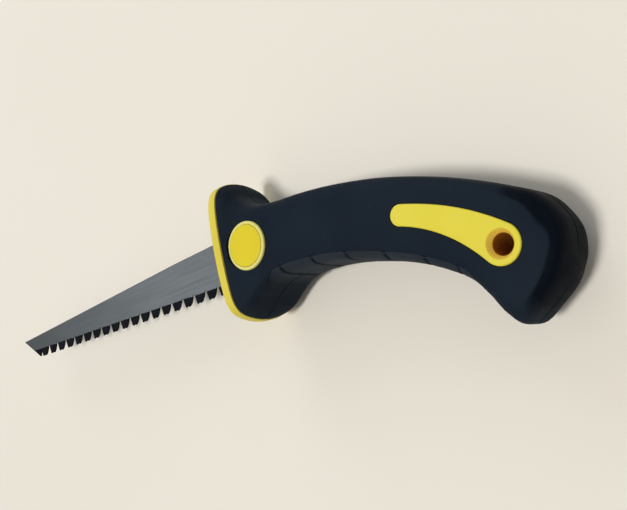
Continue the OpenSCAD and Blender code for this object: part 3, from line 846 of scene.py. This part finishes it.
def button():
    ring = [(CAP_R + 0.1, YOKE_TOP_Z + 0.1), (CAP_R + 0.8, YOKE_TOP_Z + 0.1), (CAP_R + 0.8, BEZEL_Z),
            (BEZEL_R, BEZEL_Z), (BEZEL_R, BEZEL_Z + 0.45), (BEZEL_R - 0.08, BEZEL_Z + 0.68),
            (BEZEL_R - 0.28, BEZEL_Z + 0.88), (BEZEL_R - 0.52, BEZEL_Z + 0.98),
            (BEZEL_R - 0.7, BEZEL_Z + 1), (CAP_R + 0.25, BEZEL_Z + 1), (CAP_R + 0.14, BEZEL_Z + 0.96),
            (CAP_R + 0.1, BEZEL_Z + 0.86)]
    finish_piece(lathe("button_bezel_ring", ring, HUB, 128), "button_bezel", [bezel_yellow])
    stub_r, edge = 3.05, 0.3
    face = [(0, YOKE_TOP_Z + 2.6), (stub_r, YOKE_TOP_Z + 2.6), (stub_r, YOKE_TOP_Z),
            (CAP_R - 0.15, YOKE_TOP_Z), (CAP_R, YOKE_TOP_Z + 0.15)]
    for k in range(6):
        a = math.pi / 2 * k / 5
        face.append((CAP_R - edge * (1 - math.cos(a)), YOKE_TOP_Z + 4.72 + 0.26 * math.sin(a)))
    dome_r = CAP_R - edge
    for k in range(1, 13):
        r = dome_r * (1 - k / 12)
        face.append((r, YOKE_TOP_Z + 4.98 + 0.12 * (1 - (r / dome_r) ** 2)))
    finish_piece(lathe("button_cap_dome", face, HUB, 128), "button_cap", [button_yellow])


# ---------------------------------------------------------------- guard plate

def rim_ring(x, margin):
    ring = []
    for angle in turns(4, 40):
        across, up = corner_point(angle, RIM_POWER, RIM_LOW_POWER, 1.0)
        ring.append((x, RIM_Y + (RIM_HALF_H - margin) * across, (RIM_HALF_W - margin) * up))
    return ring


def face_plate():
    rounding = 1.6
    rings = []
    for k in range(9):
        a = math.pi / 2 * k / 8
        rings.append(rim_ring(-PLATE_T + rounding * (1 - math.cos(a)), rounding * (1 - math.sin(a))))
    rings += [rim_ring(-0.3, 0.0), rim_ring(-0.09, 0.06), rim_ring(0, 0.25)]
    plate = loft("face_plate_rim", rings)
    for name, (half_y, half_z), start, end in (("neck", NECK, -1, 4.3), ("lip", LIP, 4.25, 6.4)):
        step = block(name, (start, HUB[1] - half_y, -half_z), (end, HUB[1] + half_y, half_z))
        combine(plate, step, "UNION")
    half_h = TANG_H / 2 + 1.15
    half_t = BLADE_T / 2 + 0.9
    mouth = []
    for x, grow in ((-PLATE_T - 1, 0.9), (-PLATE_T + 0.5, 0.0), (8, 0.0)):
        mouth.append([(x, HUB[1] + sy * (half_h + grow), sz * (half_t + grow))
                      for sy, sz in ((-1, -1), (1, -1), (1, 1), (-1, 1))])
    combine(plate, loft("mouth", mouth))
    finish_piece(plate, "face_plate", [plate_yellow])


# ---------------------------------------------------------------- blade

BLADE_REACH = 167.4
TOOTH_PITCH = 7.5
BLADE_RISE = 11.2
SHOULDER_X = -PLATE_T - 0.2
TIP_X = -PLATE_T - BLADE_REACH
TOOTH_X0 = TIP_X + 14.5
BLOCK_COUNT = 19
ROOT_Y0 = -5.1
ROOT_SLOPE = -0.031
TOOTH_H0 = 4.3
TOOTH_GROWTH = -0.0022
TANG_LEN = 40.0
TANG_HOLE_R = 2.6
TOOTH_SHAPE = [(0, 0), (0.03, 0.3), (0.12, 1), (0.26, 0.87), (0.4, 1), (0.53, 0.88), (0.66, 0.6),
               (0.75, 0.27), (0.8, 0)]


def root_y(x):
    return ROOT_Y0 + ROOT_SLOPE * (x - TOOTH_X0)


def tooth_block(i):
    x = TOOTH_X0 + i * TOOTH_PITCH
    depth = TOOTH_H0 + TOOTH_GROWTH * (x - TOOTH_X0)
    return [(x + a * TOOTH_PITCH, root_y(x + a * TOOTH_PITCH) - b * depth) for a, b in TOOTH_SHAPE]


def blade_outline():
    """Points round the blade, each with how far its edge is ground back on each face."""
    spine = HUB[1] + BLADE_RISE
    low, high = HUB[1] - TANG_H / 2, HUB[1] + TANG_H / 2
    end = SHOULDER_X + TANG_LEN
    nose = [(TIP_X, 1.2), (TIP_X + 12.8, -9), (TOOTH_X0 - 0.4, root_y(TOOTH_X0) - 0.5)]
    teeth = [point for i in range(BLOCK_COUNT) for point in tooth_block(i)]
    tang = [(SHOULDER_X, root_y(SHOULDER_X)), (SHOULDER_X, low), (end - 2, low), (end, low + 2),
            (end, high - 2), (end - 2, high), (SHOULDER_X, high), (SHOULDER_X, spine)]
    back = [(SHOULDER_X - 18, spine - 0.4), (SHOULDER_X - 41, spine - 1.2)]
    ground = ((nose, 0.25), (teeth, 0.3), (tang, 0.1), (back, 0.25))
    return [(x, y, depth) for points, depth in ground for x, y in points]


def inset(points, i, share):
    """A corner moved into the outline by its own grinding depth."""
    before, here, after = (Vector(points[k % len(points)][0:2]) for k in (i - 1, i, i + 1))
    a, b = (here - before).normalized(), (after - here).normalized()
    inward = Vector((-(a + b).y, (a + b).x)).normalized()
    lean = max(0.45, inward.dot(Vector((-a.y, a.x))))
    return here + inward * points[i][2] * share / lean


def blade():
    points = blade_outline()
    half = BLADE_T / 2
    rings = []
    for share, z in ((1, -half), (0, -half + 0.18), (0, half - 0.18), (1, half)):
        rings.append([tuple(inset(points, i, share)) + (z,) for i in range(len(points))])
    plate = loft("blade_ground", rings)
    combine(plate, disc("tang_hole", HUB, TANG_HOLE_R, -3, 3))
    finish_piece(plate, "blade", [blade_material, edge_dark], 20)
    for face in plate.data.polygons:
        centre = (face.center - ORIGIN) / MM
        if abs(face.normal.z) < 0.95 and centre.y > root_y(centre.x) + 0.4:
            face.material_index = 1


root_at_origin = ORIGIN.y + (root_y(0) - ROOT_SLOPE * ORIGIN.x / MM) * MM
blade_material = blade_steel("blade_steel_hardened", (root_at_origin, ROOT_SLOPE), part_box("blade")[0].x)

upper_shell()
lower_shell()
soft_strips()
inlays()
hang_sleeve()
button()
face_plate()
blade()


# ---------------------------------------------------------------- floor, light and camera

FLOOR_REACH = 2.5


def floor():
    low, high = cad_box
    middle = (low + high) / 2
    corners = ((-1, -1), (1, -1), (1, 1), (-1, 1))
    mesh = bpy.data.meshes.new("floor")
    mesh.from_pydata([(middle.x + a * FLOOR_REACH, middle.y + b * FLOOR_REACH, low.z) for a, b in corners],
                     [], [(0, 1, 2, 3)])
    obj = bpy.data.objects.new("floor", mesh)
    bpy.context.scene.collection.objects.link(obj)
    mesh.materials.append(floor_material())


def light_from(name, kind, place, power, colour):
    light = bpy.data.lights.new(name, kind)
    light.energy = power
    light.color = colour
    obj = bpy.data.objects.new(name, light)
    obj.location = place
    obj.rotation_euler = (-Vector(place)).to_track_quat("-Z", "Y").to_euler()
    bpy.context.scene.collection.objects.link(obj)
    return light


# The surroundings are brightest from BRIGHT_SIDE and dimmest opposite it. The places of the key and of
# the top light are in metres from the frame's origin, where both aim. KEY_SPREAD is in degrees.
BRIGHT_SIDE = (-0.5, 0.25, 0.8)
DIM_WORLD = 0.12
BRIGHT_WORLD = 0.44
KEY_FROM = (-0.07, -0.20, 1.0)
KEY_SPREAD = 13
KEY_POWER = 1.84
TOP_FROM = (-0.30, 1.9, 0.95)
TOP_POWER = 10.5
TOP_SIZE = 1.4


def lighting():
    world = bpy.data.worlds.new("studio")
    world.use_nodes = True
    tree = world.node_tree
    background = tree.nodes["Background"]
    aim = tree.nodes.new("ShaderNodeVectorMath")
    aim.operation = "DOT_PRODUCT"
    aim.inputs[1].default_value = Vector(BRIGHT_SIDE).normalized()
    tree.links.new(tree.nodes.new("ShaderNodeTexCoord").outputs["Generated"], aim.inputs[0])
    share = tree.nodes.new("ShaderNodeMapRange")
    share.inputs["From Min"].default_value = -0.9
    share.inputs["From Max"].default_value = 0.9
    share.inputs["To Min"].default_value = DIM_WORLD
    share.inputs["To Max"].default_value = BRIGHT_WORLD
    tree.links.new(aim.outputs["Value"], share.inputs["Value"])
    tree.links.new(share.outputs["Result"], background.inputs["Strength"])
    background.inputs["Color"].default_value = (1.0, 0.985, 0.96, 1.0)
    bpy.context.scene.world = world
    sun = light_from("key", "SUN", KEY_FROM, KEY_POWER, (1.0, 0.985, 0.955))
    sun.angle = math.radians(KEY_SPREAD)
    top = light_from("top", "AREA", TOP_FROM, TOP_POWER, (0.84, 0.91, 1.0))
    top.shape = "DISK"
    top.size = TOP_SIZE


# The camera's place is in millimetres in the handle's own frame
CAMERA_PLACE = (217.04, -76.99, 239.48)
CAMERA_FORWARD = (-0.6008, 0.2120, -0.7708)
CAMERA_UP = (0.2886, 0.9567, 0.0383)
LENS_MM = 46.89
SENSOR_MM = 36.0


def camera():
    data = bpy.data.cameras.new("camera")
    data.sensor_fit = "HORIZONTAL"
    data.sensor_width = SENSOR_MM
    data.lens = LENS_MM
    obj = bpy.data.objects.new("camera", data)
    forward = Vector(CAMERA_FORWARD).normalized()
    up = Vector(CAMERA_UP)
    right = forward.cross(up).normalized()
    up = right.cross(forward)
    turn = Matrix((right, up, -forward)).transposed().to_4x4()
    place = ORIGIN + Vector(CAMERA_PLACE) * MM
    obj.matrix_world = Matrix.Translation(place) @ turn
    bpy.context.scene.collection.objects.link(obj)
    bpy.context.scene.camera = obj


floor()
lighting()
camera()
bpy.context.scene.view_settings.view_transform = "Standard"
